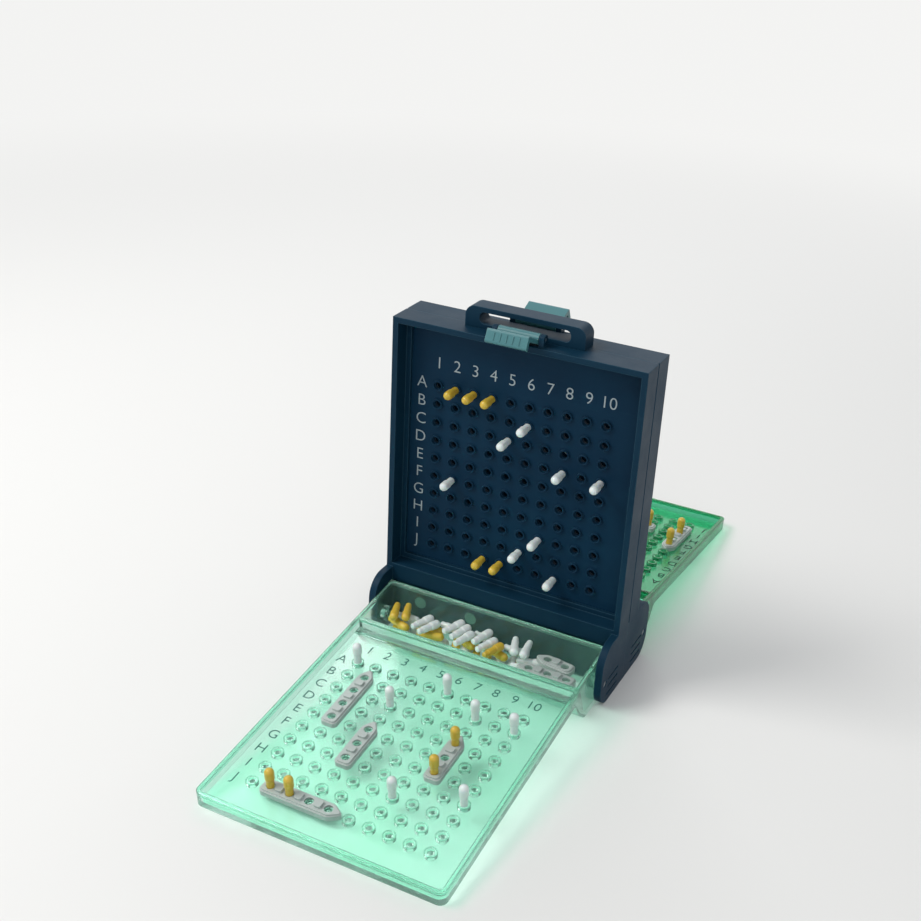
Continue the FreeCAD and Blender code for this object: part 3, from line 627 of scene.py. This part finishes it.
def pale_paper():
    """Floor paper that keeps the shadow near the object and is seen plain and pale far from it."""
    material, tree, shader = new_material("pale_paper")
    shader.inputs["Base Color"].default_value = PAPER
    shader.inputs["Roughness"].default_value = PAPER_ROUGHNESS
    place = node(tree, "ShaderNodeTexCoord").outputs["Object"]
    reach = node(tree, "ShaderNodeVectorMath", {"Vector": place}, operation="LENGTH")
    far = node(tree, "ShaderNodeMapRange",
               {"Value": reach.outputs["Value"], "From Min": FADE_START, "From Max": FADE_END},
               interpolation_type="SMOOTHSTEP")
    seen = node(tree, "ShaderNodeMath", {0: far.outputs["Result"], 1: seen_ray(tree)},
                operation="MULTIPLY")
    pale = node(tree, "ShaderNodeEmission", {"Color": PALE})
    mix = node(tree, "ShaderNodeMixShader",
               {"Fac": seen.outputs["Value"], 1: shader.outputs["BSDF"], 2: pale.outputs["Emission"]})
    tree.links.new(mix.outputs["Shader"], tree.nodes["Material Output"].inputs["Surface"])
    return material


def add_floor():
    corners = [(x * PAPER_HALF, y * PAPER_HALF, 0) for x, y in ((-1, -1), (1, -1), (1, 1), (-1, 1))]
    mesh = bpy.data.meshes.new("studio_floor")
    mesh.from_pydata(corners, [], [(0, 1, 2, 3)])
    mesh.materials.append(pale_paper())
    floor = bpy.data.objects.new("studio_floor", mesh)
    bpy.context.scene.collection.objects.link(floor)


def add_world():
    """Soft even light from all round, with a pale backdrop where it is seen."""
    world = bpy.data.worlds.new("studio")
    bpy.context.scene.world = world
    world.use_nodes = True
    tree = world.node_tree
    sky = tree.nodes["Background"]
    sky.inputs["Color"].default_value = SKY
    sky.inputs["Strength"].default_value = SKY_STRENGTH
    pale = node(tree, "ShaderNodeBackground", {"Color": PALE})
    mix = node(tree, "ShaderNodeMixShader",
               {"Fac": seen_ray(tree), 1: sky.outputs["Background"], 2: pale.outputs["Background"]})
    tree.links.new(mix.outputs["Shader"], tree.nodes["World Output"].inputs["Surface"])


def add_camera():
    camera = bpy.data.cameras.new("photo_camera")
    camera.sensor_width = CAMERA_SENSOR
    camera.lens = CAMERA_LENS
    camera.clip_start, camera.clip_end = 0.01, 50.0
    holder = bpy.data.objects.new("photo_camera", camera)
    axes = Matrix((CAMERA_RIGHT, CAMERA_UP, CAMERA_RIGHT.cross(CAMERA_UP))).transposed().to_4x4()
    holder.matrix_world = Matrix.Translation(CAMERA_AT) @ axes
    bpy.context.scene.collection.objects.link(holder)
    bpy.context.scene.camera = holder


def add_studio():
    bpy.context.scene.view_settings.view_transform = "Standard"
    add_world()
    for name, lamp in LAMPS.items():
        add_lamp(name, **lamp)
    add_floor()
    add_camera()


materials = make_materials()
dress_nodes(materials)
add_trim(materials)
add_studio()
